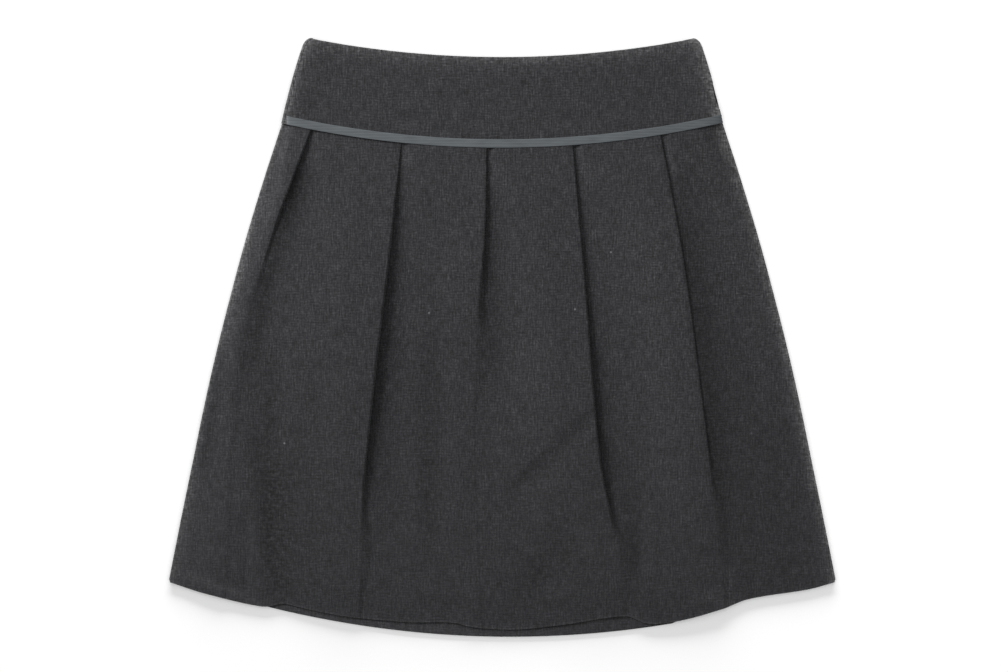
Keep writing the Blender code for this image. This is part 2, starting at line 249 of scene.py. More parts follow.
# ---- The skirt's form ----
@dataclass(frozen=True)
class SkirtForm:
    """Every size that more than one piece shares, and the surfaces that the pieces lie on."""

    panel_wall: float = 0.0008
    yoke_wall: float = 0.0018
    gap: float = 0.0001
    waist: Arc = Arc(0.2323, 0.605)
    yoke_seam: Arc = Arc(0.1571, 0.612, -0.0010)
    back_hem: Arc = Arc(-0.2476, 0.610, 0.0068)
    front_hem: Curve = Curve(
        (-0.2762, -0.2479, -0.1975, -0.1820, -0.1669, -0.1324, -0.0792, -0.0412, -0.0260)
        + (0.0080, 0.0481, 0.1027, 0.1205, 0.1457, 0.1821, 0.2044, 0.2549, 0.2762),
        (-0.2024, -0.2115, -0.2228, -0.2200, -0.2235, -0.2303, -0.2354, -0.2358, -0.2394)
        + (-0.2416, -0.2379, -0.2305, -0.2367, -0.2346, -0.2247, -0.2164, -0.2082, -0.2024),
    )
    outline: Curve = Curve(
        (-0.2024, -0.1511, -0.1015, -0.0519, -0.0022, 0.0474, 0.0805, 0.1135)
        + (0.1466, 0.1632, 0.1780, 0.1863, 0.1962, 0.2128, 0.2293, 0.2500),
        (0.2765, 0.2663, 0.2561, 0.2459, 0.2345, 0.2218, 0.2128, 0.2030)
        + (0.1926, 0.1871, 0.1824, 0.1805, 0.1781, 0.1738, 0.1691, 0.1624),
    )
    waist_corner_radius: float = 0.0066
    waist_corner_share: float = 0.7
    hem_corner_cut: float = 0.0012
    hem_rounding_row: float = 0.992
    hems_meet_run: float = 0.030
    side_end_rounds: int = 12
    notch_x: float = 0.1425
    notch_run: float = 0.0025
    notch_depth: float = 0.0010
    pleats: tuple[Pleat, ...] = (
        pleat(
            fold=(-0.1585, -0.1692, -0.1925, -0.2198, -0.2314),
            tuck=(0.007, 0.002, -0.0095, -0.0115, -0.0118),
            roll=(0.00045, 0.00105, 0.00032, 0.00022, 0.0001),
            ridge=(0.0012, 0.0022, 0.0030, 0.0016, 0.0001),
            spread=0.016, rise=0.060, fall=0.014,
            stations=(0.0, 0.08, 0.25, 0.5, 1.0),
        ),
        pleat(
            fold=(-0.0839, -0.0939, -0.1053, -0.1152, -0.1190),
            tuck=(0.028, 0.022, 0.014, -0.0088, -0.0113),
            roll=(0.00018, 0.0014, 0.0017, 0.0007, 0.00008),
            ridge=(0.0, 0.0, 0.0012, 0.0012, 0.0002),
            spread=0.016,
        ),
        pleat(
            fold=(-0.0132, -0.0145, -0.0192, -0.0238, -0.0180),
            tuck=(0.026, 0.004, -0.0100, -0.0115, -0.0118),
            roll=(0.00042, 0.0009, 0.0008, 0.00005, 0.00005),
            ridge=(0.0, 0.0, 0.0008, 0.0, 0.0),
            spread=0.018, fall=0.014,
            stations=(0.0, 0.17, 0.345, 0.56, 1.0),
        ),
        pleat(
            fold=(0.0579, 0.0683, 0.0804, 0.0914, 0.1005),
            tuck=(0.028, 0.026, 0.010, -0.0102, -0.0114),
            roll=(0.00042, 0.00095, 0.0014, 0.00055, 0.0001),
            ridge=(0.0, 0.0004, 0.0014, 0.0014, 0.0002),
            spread=0.012, fall=0.014,
            stations=(0.0, 0.30, 0.66, 0.81, 1.0),
        ),
        pleat(
            fold=(0.1306, 0.1483, 0.1617, 0.1736, 0.1833),
            tuck=(0.026, 0.016, 0.004, -0.0108, -0.0114),
            roll=(0.00042, 0.00042, 0.00030, 0.00028, 0.00014),
            ridge=(0.0008, 0.0034, 0.0042, 0.0028, 0.0006),
            spread=0.018, rise=0.060, fall=0.0145,
        ),
    )
    least_roll: float = 0.00003
    fully_open: float = 0.012
    most_open: float = 0.96
    open_bend_share: float = 0.25
    least_run: float = 0.0005
    rise_run: float = 0.085
    rise_share: float = 0.92
    rise_clearance: float = 0.0009
    pressed_share: float = 0.16
    panel_seam_lift: float = 0.0012
    pressed_climb: float = 0.007
    face_start: float = 0.0015
    yoke_side_lift: float = 0.0018
    side_lift_run: float = 0.036
    panel_side_level: float = 0.0016
    yoke_side_level: float = 0.0028
    side_round: float = 0.013
    seam_inset: float = 0.0020
    zip_slit: float = 0.0016
    slit_opens: Pair = (0.50, 0.66)
    slit_closes: Pair = (0.74, 0.86)
    yoke_seam_lift: float = 0.0009
    # soft troughs in the front: start x and y, end x and y, width, height
    creases: tuple[Stroke, ...] = strokes(
        (-0.199, -0.08, -0.183, -0.222, 0.008, -0.0016),
        (-0.213, -0.15, -0.214, -0.205, 0.007, -0.0009),
        (0.078, -0.064, 0.013, -0.127, 0.008, -0.0023),
        (0.056, -0.15, 0.04, -0.206, 0.014, -0.0014),
        (-0.052, -0.005, -0.054, -0.16, 0.01, -0.001),
        (-0.088, -0.08, -0.086, -0.16, 0.01, -0.0007),
        (0.036, -0.18, 0.03, -0.228, 0.012, -0.0008),
        (0.109, -0.128, 0.116, -0.192, 0.006, -0.0013),
        (-0.146, -0.02, -0.158, -0.12, 0.012, -0.0007),
        (0.215, 0.01, 0.24, -0.15, 0.012, -0.0008),
    )
    # painted light and painted shade, paler and darker patches beside the folds and elsewhere, where light
    # and shadow fall: the same, with the height as a share of the tint
    painted_strokes: tuple[Stroke, ...] = strokes(
        (-0.15, 0.08, -0.16, -0.2, 0.03, -0.08),
        (-0.184, -0.1, -0.182, -0.22, 0.009, -0.26),
        (-0.06, 0.08, -0.063, -0.18, 0.009, -0.12),
        (-0.1635, 0.14, -0.189, 0.075, 0.006, -0.28),
        (-0.189, 0.075, -0.2095, -0.03, 0.006, -0.28),
        (-0.262, -0.196, -0.205, -0.2165, 0.004, 0.38),
        (0.186, -0.19, 0.191, -0.224, 0.007, 0.3),
        (0.1085, -0.098, 0.1125, -0.2, 0.005, -0.08),
        (-0.213, -0.18, -0.2165, -0.213, 0.0022, -0.18),
        (0.1465, 0.1, 0.177, -0.13, 0.008, -0.28),
        (0.115, 0.11, 0.146, -0.15, 0.022, 0.13),
        (0.0, -0.206, 0.06, -0.19, 0.012, -0.12),
        (0.2, 0.0, 0.225, -0.2, 0.03, -0.06),
        (0.1385, 0.11, 0.169, -0.12, 0.005, 0.24),
        (-0.1913, -0.0101, -0.1954, -0.1837, 0.006, -0.28),
        (-0.2227, -0.0787, -0.2194, -0.1962, 0.006, 0.14),
        (-0.207, 0.1016, -0.2244, 0.0271, 0.004, 0.45),
        (-0.2335, -0.0117, -0.2508, -0.1093, 0.006, -0.5),
        (0.161, 0.1553, 0.2065, 0.0395, 0.012, 0.11),
        (0.2065, 0.0395, 0.2197, -0.0597, 0.011, 0.13),
        (0.1784, 0.1867, 0.1858, 0.1512, 0.004, 1.0),
        (-0.1797, 0.1719, -0.1938, 0.114, 0.006, -0.2),
        (-0.169, 0.1222, -0.1772, 0.0809, 0.006, -0.11),
        (-0.1987, 0.0544, -0.2103, 0.0213, 0.005, -0.14),
        (-0.0052, 0.114, -0.0069, 0.0065, 0.009, -0.11),
        (-0.0639, 0.1471, -0.0623, 0.0809, 0.014, -0.08),
        (0.0833, -0.0746, 0.0171, -0.1242, 0.007, -0.17),
        (0.0477, -0.1854, 0.0659, -0.173, 0.018, -0.11),
        (0.1552, -0.2168, 0.1842, -0.2102, 0.007, 0.3),
        (0.2603, -0.1259, 0.2727, -0.1937, 0.004, -0.45),
        (0.2106, 0.1074, 0.2197, 0.0519, 0.003, -0.4),
        (-0.1524, 0.2446, -0.1491, 0.2008, 0.009, 0.1),
        (-0.0176, 0.1471, -0.0193, 0.0809, 0.004, 0.11),
        (0.0907, -0.1217, 0.099, -0.1523, 0.004, 0.12),
        (-0.0714, 0.0726, -0.073, 0.0354, 0.006, -0.13),
        (-0.02, 0.03, -0.0215, -0.015, 0.005, -0.1),
    )
    # painted highlights along the side edges and the yoke's right edge, where the fibres would catch the
    # light
    painted_highlight_left: Rim = Rim(1.75, 0.0042)
    painted_highlight_right: Rim = Rim(2.70, 0.0036)
    painted_highlight_yoke_right: Rim = Rim(1.90, 0.0050)
    # painted light on the strip of back hem below the front hem, and along the front hem's edge
    back_strip_painted_light: float = 0.25
    back_strip_run: float = 0.001
    back_strip_end: float = 0.12
    back_strip_fade: float = 0.2
    hem_painted_light: float = 0.60
    hem_painted_light_run: float = 0.0015
    # a painted highlight along the waist
    painted_highlight_waist: Rim = Rim(1.45, 0.0049)
    # painted shade: the panels darker towards the hem
    painted_shade_downwards: float = -0.13
    swell_height: float = 0.0026
    swell_at_hem: float = 0.0020
    swell_hem_share: float = 0.06
    hem_press_run: float = 0.07
    ridge_top_run: float = 0.08
    swell_left_run: float = 0.040
    swell_right_run: float = 0.100
    swell_top_run: float = 0.12
    ripple_height: float = 0.00022
    ripple_length: float = 0.030
    ripple_stretch: float = 2.2
    ripple_layer: float = 4.7
    ripple_settings: tuple[float, float, int] = (1.0, 2.1, 3)  # falloff, lacunarity, octaves
    bend_steps: int = 8
    side_bend_steps: int = 8
    face_steps: tuple[int, ...] = (4, 8, 14, 8)
    last_face_steps: tuple[int, ...] = (4, 6, 24, 4)

    # -- outline --
    def side_end(self, arc: Arc) -> Pair:
        """Where an arc across the skirt meets the side.

        Args:
            arc: The arc.

        Returns:
            The x and y there.
        """
        level = Arc(arc.middle, arc.bow)
        x = self.outline.at(arc.middle)
        for _ in range(self.side_end_rounds):
            x = self.outline.at(level.y(x))
        return x, level.y(x)

    @property
    def hem_end(self) -> Pair:
        """The hem's corner."""
        return self.front_hem.knots[-1], self.front_hem.values[-1]

    def back_hem_y(self, x: float) -> float:
        """The back hem: an arc below the front hem, which slips under it on the right.

        Args:
            x: The place across the skirt.

        Returns:
            The hem's y there.
        """
        meet = ease(1.0 - (self.hem_end[0] - abs(x)) / self.hems_meet_run)
        under = ease((x - self.notch_x) / self.notch_run)
        hidden = self.front_hem.at(x) + self.notch_depth * (1.0 - meet)
        return mix(self.back_hem.y(x), hidden, max(meet, under))

    # -- rows of the panels: v is 0 at the yoke seam and 1 at the hem --
    def panel_half(self, v: float) -> float:
        """Half the skirt's width at row v."""
        cut = self.hem_corner_cut * ease((v - self.hem_rounding_row) / (1.0 - self.hem_rounding_row))
        return self.outline.at(mix(SEAM_END[1], self.hem_end[1], v)) - cut

    def panel_y(self, x: float, v: float, half: float, hem_y: Callable[[float], float]) -> float:
        """The y of a panel's row at x.

        Args:
            x: The place across the skirt.
            v: The row.
            half: Half the skirt's width at that row.
            hem_y: The panel's hem, as y at x.

        Returns:
            The row's y there.
        """
        across = x / half
        seam = self.yoke_seam.y(across * SEAM_END[0]) - self.gap / 2
        return mix(seam, hem_y(across * self.hem_end[0]), v)

    # -- rows of the yokes: v is 0 at the waist and 1 at the seam --
    def yoke_half(self, v: float) -> float:
        """Half the yoke's width, with its waist corners rounded.

        Args:
            v: The row.

        Returns:
            Half the width at that row.
        """
        y, radius = mix(WAIST_END[1], SEAM_END[1], v), self.waist_corner_radius
        rounding = radius - math.sqrt(radius**2 - max(radius - WAIST_END[1] + y, 0.0) ** 2)
        return self.outline.at(y) - self.waist_corner_share * rounding

    def yoke_y(self, x: float, v: float) -> float:
        """The y of a yoke's row v at x."""
        waist, seam = (x / self.yoke_half(v) * end for end in (self.yoke_half(0.0), SEAM_END[0]))
        return mix(self.waist.y(waist), self.yoke_seam.y(seam) + self.gap / 2, v)

    # -- painted light and shade --
    def tone(self, x: float, y: float) -> float:
        """How much lighter or darker the cloth is painted at a place than in the yoke: painted highlights,
        painted light and painted shade.

        Args:
            x: The place across the skirt.
            y: The place along the skirt.

        Returns:
            The difference, as a share of the tint.
        """
        inwards = self.outline.at(y) - abs(x)
        side = self.painted_highlight_left if x < 0 else self.painted_highlight_right
        down = self.painted_shade_downwards * ease((SEAM_END[1] - y) / (SEAM_END[1] - self.back_hem.middle))
        rims = side.at(inwards) + self.painted_highlight_waist.at(self.waist.y(x) - y)
        if x > 0 and y > self.yoke_seam.y(x):
            rims += self.painted_highlight_yoke_right.at(inwards)
        past_hem = self.front_hem.at(x) - y
        strip = self.back_strip_painted_light * ease(past_hem / self.back_strip_run)
        strip *= ease((self.back_strip_end - x) / self.back_strip_fade)
        edge = self.hem_painted_light * ease(1.0 - abs(past_hem) / self.hem_painted_light_run)
        return rims + down + strip + edge + sum(shade.at(x, y) for shade in self.painted_strokes)

    # -- heights --
    def level(self, wall: float, below: int) -> float:
        """The middle of a wall that lies flat on a number of walls like it."""
        return wall * (below + 0.5) + self.gap * below

    def side_lift(self, x: float, half: float) -> float:
        """How much higher the front yoke lies near a side fold."""
        return self.yoke_side_lift * ease(1.0 - (half - abs(x)) / self.side_lift_run)

    def roundness(self, x: float, half: float) -> float:
        """How far the front has risen from the side fold: 0 at the fold, 1 from side_round inwards."""
        inwards = max(half - self.panel_wall / 2 - abs(x), 0.0) / self.side_round
        return math.sqrt(1.0 - (1.0 - min(inwards, 1.0)) ** 2)

    def ripple(self, x: float, y: float) -> float:
        """The slight unevenness of cloth that has been laid out by hand."""
        across, along = x / self.ripple_length, y / (self.ripple_stretch * self.ripple_length)
        return self.ripple_height * noise.fractal((across, along, self.ripple_layer), *self.ripple_settings)

    def swell(self, x: float, v: float, half: float) -> float:
        """How far the front stands off the back, beyond pressed layers.

        Args:
            x: The place across the skirt.
            v: The row.
            half: Half the skirt's width at that row.

        Returns:
            The height.
        """
        y = self.panel_y(x, v, half, self.front_hem.at)
        run = self.swell_left_run if x < 0 else self.swell_right_run
        inside = ease((half - abs(x)) / run) * ease(v / self.swell_top_run)
        inside *= mix(1.0, self.swell_hem_share, ease(1.0 - (1.0 - v) / self.hem_press_run))
        pressed = sum(crease.at(x, y) for crease in self.creases) + self.ripple(x, y)
        ridges = sum(one.swell(x, v) for one in self.pleats) * ease(v / self.ridge_top_run)
        return ridges + max(0.0, inside * (mix(self.swell_height, self.swell_at_hem, v) + pressed))

    def front_base(self, x: float, v: float, half: float) -> float:
        """The middle of the front panel's lowest layer.

        Args:
            x: The place across the skirt.
            v: The row.
            half: Half the skirt's width at that row.

        Returns:
            The height.
        """
        seam = self.panel_seam_lift * ease(1.0 - v / self.pressed_share)
        level = self.level(self.panel_wall, 1) + seam + self.swell(x, v, half)
        return mix(self.panel_side_level, level, self.roundness(x, half))

    def front_yoke_level(self, x: float, v: float) -> float:
        """The middle of the front yoke.

        Args:
            x: The place across the skirt.
            v: The row.

        Returns:
            The height.
        """
        half = self.yoke_half(v)
        edge = self.side_lift(x, half)
        rise = self.yoke_seam_lift * v * v * (1.0 - edge / self.yoke_side_lift)
        level = self.level(self.yoke_wall, 1) + edge + rise
        return mix(self.yoke_side_level, level, self.roundness(x, half))

    def zip_gape(self, v: float) -> float:
        """The slit beside the front yoke at row v, which opens and closes between its rows."""
        (first, wide), (narrowing, last) = self.slit_opens, self.slit_closes
        return self.zip_slit * ease((v - first) / (wide - first)) * ease((last - v) / (last - narrowing))

    def front_yoke_ends(self, v: float) -> Pair:
        """The front yoke's left and right edge at row v."""
        half = self.yoke_half(v)
        return -(half - self.seam_inset - self.gap), half - self.zip_gape(v)

    # -- pleats --
    def fold_of(self, one: Pleat, v: float) -> Fold:
        """The S that a pleat makes: over its folded edge, back under it, and out at the base.

        Args:
            one: The pleat.
            v: The row.

        Returns:
            The fold at that row.
        """
        tuck = one.tuck.at(v)
        opened = min(max(-tuck / self.fully_open, 0.0), self.most_open)
        turn = math.pi * (1.0 - opened)
        roll = max(one.roll.at(v), self.least_roll)
        radius, run = math.pi * roll / turn, max(tuck, 0.0) + self.least_run
        if turn < math.pi / 2:
            drop = 1.0 - math.cos(turn)
            radius = 2 * roll * mix(1.0, 1.0 / drop, self.open_bend_share)
            slope = (4 * roll - 2 * radius * drop) / math.sin(turn)
            run = min(self.least_run + slope, one.spread)
        bends = [turn * k / self.bend_steps for k in range(self.bend_steps + 1)]
        path = [(radius * math.sin(a), radius * (math.cos(a) - 1.0)) for a in bends]
        x, z = path[-1]
        path.append((x + run / 2 * math.cos(turn), z - run / 2 * math.sin(turn)))
        x, z = x + run * math.cos(turn), z - run * math.sin(turn)
        mid_x, mid_z = x + radius * math.sin(turn), z + radius * math.cos(turn)
        path += [(mid_x - radius * math.sin(a), mid_z - radius * math.cos(a)) for a in bends[::-1]]
        end_x, end_z = path[-1]
        start_x = one.fold.at(v) - min(radius * math.sin(min(turn, math.pi / 2)), 2 * roll)
        return Fold(
            start_x=start_x,
            height=-end_z,
            path=tuple((start_x + dx, dz - end_z) for dx, dz in path),
            inner_x=start_x + min(dx for dx, _ in path),
            end_x=start_x + end_x,
        )

    def front_section(self, v: float, half: float) -> list[Pair]:
        """The middle line of the pleated front at row v, from left to right.

        Args:
            v: The row.
            half: Half the skirt's width there.

        Returns:
            Its points as (x, height over the base).
        """
        start = -(half - self.seam_inset - self.gap)
        emerge = start + self.face_start
        pressed = ease(1.0 - v / self.pressed_share)
        points: list[Pair] = []
        for one in self.pleats:
            fold = self.fold_of(one, v)
            rise_end = mix(fold.inner_x - self.rise_clearance, emerge + self.pressed_climb, pressed)
            climb = min(self.rise_run, self.rise_share * (rise_end - emerge))
            rise_start = rise_end - climb
            face = spaced((start, emerge, rise_start, rise_end, fold.start_x), self.face_steps)
            points += [(x, fold.height * ease((x - rise_start) / climb)) for x in face]
            points += fold.path[1:]
            start = points.pop()[0]
            emerge = max(fold.end_x, one.fold.at(v)) + self.face_start
        right = half - self.seam_inset - self.gap
        top = 4 * max(self.pleats[-1].roll.at(v), self.least_roll) * pressed
        climb = self.pressed_climb
        face = spaced((start, emerge, emerge + climb, right - climb, right), self.last_face_steps)
        return points + [
            (x, top * ease((x - emerge) / climb) * ease((right - x) / (3 * climb))) for x in face
        ]

    def side_bend(self, edge_x: float, low: float, surface: Callable[[float], float]) -> list[Pair]:
        """Points round a side fold, from the side seam above to the lower layer.

        Args:
            edge_x: The outermost x of the fold, below 0 on the left.
            low: The middle of the lower layer.
            surface: The height of the front at x.

        Returns:
            The points as (x, z).
        """
        side, steps = math.copysign(1.0, edge_x), self.side_bend_steps
        outer_x = edge_x - side * self.panel_wall / 2
        seam_turn = math.acos(1.0 - (self.seam_inset - self.panel_wall / 2) / self.side_round)
        insets = [self.side_round * (1.0 - math.cos(seam_turn * k / steps)) for k in range(steps, 0, -1)]
        points = [(outer_x - side * inset, surface(outer_x - side * inset)) for inset in insets]
        radius = surface(outer_x) - low
        for k in range(steps + 1):
            turn = math.pi / 2 * k / steps
            x = outer_x - side * radius * (1.0 - math.cos(turn))
            points.append((x, low + radius * (1.0 - math.sin(turn))))
        return points


FORM = SkirtForm()
SEAM_END = FORM.side_end(FORM.yoke_seam)
WAIST_END = FORM.side_end(FORM.waist)


# ---- Shader node helpers ----
class SocketKind(Enum):
    """What a group's socket carries."""

    VALUE = "NodeSocketFloat"
    COLOUR = "NodeSocketColor"
    VECTOR = "NodeSocketVector"


class NodeBench:
    """Adds and links nodes in one node tree."""

    def __init__(self, tree: bpy.types.NodeTree) -> None:
        """Works on the given tree."""
        self.tree = tree

    def add(self, kind: str, settings: Settings | None = None, *values: object, **inputs: object) -> Node:
        """Adds a node.

        Args:
            kind: Blender's name of the node's class.
            settings: Properties of the node.
            *values: Values or sockets for its first inputs, in order.
            **inputs: Values or sockets for its inputs, by name.

        Returns:
            The node.
        """
        node = self.tree.nodes.new(kind)
        for name, value in (settings or {}).items():
            setattr(node, name, value)
        for socket, value in zip(node.inputs, values):
            self.feed(socket, value)
        for name, value in inputs.items():
            self.feed(node.inputs[name], value)
        return node

    def feed(self, socket: Socket, value: object) -> None:
        """Gives an input its value.

        Args:
            socket: The input.
            value: An output socket to link to it, or the value to set.
        """
        if isinstance(value, Socket):
            self.tree.links.new(value, socket)
        else:
            socket.default_value = value

    def maths(self, operation: str, *values: object) -> Socket:
        """The result of a Math node on the given values or sockets."""
        return self.add("ShaderNodeMath", {"operation": operation}, *values).outputs[0]

    def cloth_place(self) -> Socket:
        """The place on the cloth, in metres along its grain."""
        return self.add("ShaderNodeUVMap", {"uv_map": CLOTH_UV}).outputs[0]

    def noise(self, place: Socket, lengths: Pair, detail: float, roughness: float = 0.55) -> Socket:
        """Adds a noise from 0 to 1.

        Args:
            place: Where on the cloth it is read.
            lengths: About how long its features are, along x and y.
            detail: How many finer layers it has.
            roughness: How strong those are.

        Returns:
            Its value.
        """
        scale = (1 / lengths[0], 1 / lengths[1], 1.0)
        place = self.add("ShaderNodeMapping", Vector=place, Scale=scale).outputs[0]
        node = self.add("ShaderNodeTexNoise", Vector=place, Scale=1.0, Detail=detail, Roughness=roughness)
        return node.outputs["Fac"]

    def ramp(self, value: Socket, start: Pair, end: Pair) -> Socket:
        """Adds a smooth step.

        Args:
            value: What is read.
            start: A value, and the result up to there.
            end: A higher value, and the result from there on.

        Returns:
            The result.
        """
        node = self.add("ShaderNodeMapRange", {"interpolation_type": "SMOOTHSTEP"}, Value=value)
        for side, (source, target) in (("Min", start), ("Max", end)):
            node.inputs[f"From {side}"].default_value = source
            node.inputs[f"To {side}"].default_value = target
        return node.outputs["Result"]

    def varied(self, tone: object, texture: Socket, share: object) -> Socket:
        """A tone moved up and down by a texture around one half, by a share."""
        return self.maths("MULTIPLY_ADD", self.maths("SUBTRACT", texture, 0.5), share, tone)

    def tinted(self, colour: Point | Socket, tone: Socket) -> Socket:
        """A colour made lighter or darker by a tone around 1."""
        return self.add("ShaderNodeVectorMath", {"operation": "SCALE"}, colour, Scale=tone).outputs[0]


Sockets = dict[str, SocketKind]
Wiring = Callable[[NodeBench, Node, Node], None]


class ShaderGroup:
    """A node group that several finishes share, built once."""

    def __init__(self, name: str, inputs: Sockets, outputs: Sockets, wire: Wiring) -> None:
        """Makes the group.

        Args:
            name: The group's name.
            inputs: The kind of each input.
            outputs: The kind of each output.
            wire: Adds the nodes between the group's input node and its output node.
        """
        self.tree = bpy.data.node_groups.new(name, "ShaderNodeTree")
        for side, sockets in (("INPUT", inputs), ("OUTPUT", outputs)):
            for label, kind in sockets.items():
                self.tree.interface.new_socket(label, in_out=side, socket_type=kind.value)
        bench = NodeBench(self.tree)
        wire(bench, bench.add("NodeGroupInput"), bench.add("NodeGroupOutput"))

    def place(self, bench: NodeBench, **inputs: object) -> Node:
        """Puts the group into a material, with its own values."""
        return bench.add("ShaderNodeGroup", {"node_tree": self.tree}, **inputs)


@dataclass(frozen=True)
class Melange:
    """Mixed fibres: fine grain, short streaks both ways, fine bars, broad mottling and lint."""

    weft: Pair = (0.0070, 0.0013)
    warp: Pair = (0.0013, 0.0090)
    weft_share: float = 0.38
    warp_share: float = 0.62
    streak_relief: float = 0.6
    grain: Pair = (0.0015, 0.0017)
    mottle: Pair = (0.011, 0.014)
    bar_pitch: float = 0.0021
    bar_bend: float = 9.0
    bar_bend_size: Pair = (0.012, 0.012)
    bar_patch: Pair = (0.0065, 0.0065)
    bar_patch_edges: Pair = (0.42, 0.58)
    strength: tuple[Pair, Pair] = ((-0.20, 0.80), (0.05, 1.0))  # y and how strong the fibres look
    lint_cell: float = 0.030
    lint_spot: tuple[Pair, Pair] = ((0.018, 1.0), (0.034, 0.0))  # share of the cell and how pale
    bare_share: float = 0.98  # of the cells

    def wire(self, bench: NodeBench, given: Node, result: Node) -> None:
        """Wires the group. The bars run one way in some patches and the other way in the rest.

        Args:
            bench: Where the nodes go.
            given: The group's input node.
            result: The group's output node.
        """
        place = given.outputs["Place"]
        parts = bench.add("ShaderNodeSeparateXYZ", Vector=place)
        weft = bench.noise(place, self.weft, 1.0)
        warp = bench.maths("MULTIPLY", bench.noise(place, self.warp, 1.0), self.warp_share)
        streaks = bench.maths("MULTIPLY_ADD", weft, self.weft_share, warp)
        grain = bench.noise(place, self.grain, 0.0)
        bend, patches = bench.noise(place, self.bar_bend_size, 0.0), bench.noise(place, self.bar_patch, 0.0)
        first, last = self.bar_patch_edges
        bars = 0.0
        for side, low, high in (("X", 0.0, 1.0), ("Y", 1.0, 0.0)):
            phase = bench.maths("MULTIPLY_ADD", parts.outputs[side], 2 * math.pi / self.bar_pitch, weft)
            wave = bench.maths("SINE", bench.maths("MULTIPLY_ADD", bend, self.bar_bend, phase))
            bars = bench.maths("MULTIPLY_ADD", wave, bench.ramp(patches, (first, low), (last, high)), bars)
        tone = bench.varied(0.0, streaks, given.outputs["Streaks"])
        tone = bench.varied(tone, grain, given.outputs["Grain"])
        tone = bench.maths("MULTIPLY_ADD", bars, given.outputs["Bars"], tone)
        tone = bench.maths("MULTIPLY", tone, bench.ramp(parts.outputs["Y"], *self.strength))
        tone = bench.varied(tone, bench.noise(place, self.mottle, 3.0, 0.6), given.outputs["Mottle"])
        settings = {"voronoi_dimensions": "2D"}
        cells = bench.add("ShaderNodeTexVoronoi", settings, Vector=place, Scale=1 / self.lint_cell)
        draw = bench.add("ShaderNodeSeparateColor", Color=cells.outputs["Color"]).outputs[0]
        spots = bench.ramp(cells.outputs["Distance"], *self.lint_spot)
        flecks = bench.maths("MULTIPLY", spots, bench.maths("GREATER_THAN", draw, self.bare_share))
        flecks = bench.maths("MULTIPLY", flecks, given.outputs["Flecks"])
        tone = bench.maths("ADD", bench.maths("EXPONENT", tone), flecks)
        bench.feed(result.inputs["Colour"], bench.tinted(given.outputs["Tint"], tone))
        bench.feed(result.inputs["Fibres"], bench.maths("MULTIPLY_ADD", streaks, self.streak_relief, grain))


def wire_weave(bench: NodeBench, given: Node, result: Node) -> None:
    """Wires a plain weave: threads that rise and sink in turn, as a height from 0 to 1.

    Args:
        bench: Where the nodes go.
        given: The group's input node.
        result: The group's output node.
    """
    parts = bench.add("ShaderNodeSeparateXYZ", Vector=given.outputs["Place"])
    turns = bench.maths("DIVIDE", 2 * math.pi, given.outputs["Pitch"])
    across = bench.maths("SINE", bench.maths("MULTIPLY", parts.outputs["X"], turns))
    along = bench.maths("SINE", bench.maths("MULTIPLY", parts.outputs["Y"], turns))
    height = bench.maths("MULTIPLY_ADD", bench.maths("MULTIPLY", across, along), 0.5, 0.5)
    bench.feed(result.inputs["Height"], height)


class SharedGroups:
    """The node groups that the finishes share."""

    def __init__(self) -> None:
        """Builds the groups."""
        colour, value, vector = SocketKind.COLOUR, SocketKind.VALUE, SocketKind.VECTOR
        inputs = {"Place": vector, "Tint": colour}
        inputs |= {name: value for name in ("Streaks", "Grain", "Bars", "Mottle", "Flecks")}
        outputs = {"Colour": colour, "Fibres": value}
        self.melange = ShaderGroup("melange_fibres", inputs, outputs, Melange().wire)
        inputs = {"Place": vector, "Pitch": value}
        self.weave = ShaderGroup("plain_weave", inputs, {"Height": value}, wire_weave)


# ---- Finishes ----
@dataclass(frozen=True)
class Surface:
    """What a finish's pattern gives to its shader, each as a socket or a plain value."""

    colour: object
    roughness: object
    height: Socket | None = None


@dataclass(frozen=True, kw_only=True)
class Finish:
    """What every finish has: its tint, how rough and glossy it is, its sheen and its relief."""

    tint: Colour
    roughness: float
    gloss: float = 0.5
    sheen: float = 0.0
    sheen_roughness: float = 0.5
    relief: float = 0.5
    relief_depth: float = 0.0001

    def pattern(self, bench: NodeBench) -> Surface:
        """Adds the pattern's nodes to a material. A plain finish has none."""
        return Surface(self.tint, self.roughness)

    def material(self, name: str) -> Material:
        """Makes a material of this finish.

        Args:
            name: The material's name.

        Returns:
            The material.
        """
        made = bpy.data.materials.new(name)
        made.use_nodes = True
        bench, shader = NodeBench(made.node_tree), made.node_tree.nodes["Principled BSDF"]
        surface = self.pattern(bench)
        settings = {
            "Base Color": surface.colour,
            "Roughness": surface.roughness,
            "Specular IOR Level": self.gloss,
            "Sheen Weight": self.sheen,
            "Sheen Roughness": self.sheen_roughness,
        }
        if surface.height is not None:
            sizes = {"Strength": self.relief, "Distance": self.relief_depth}
            bump = bench.add("ShaderNodeBump", Height=surface.height, **sizes)
            settings["Normal"] = bump.outputs["Normal"]
        for label, value in settings.items():
            bench.feed(shader.inputs[label], value)
        return made


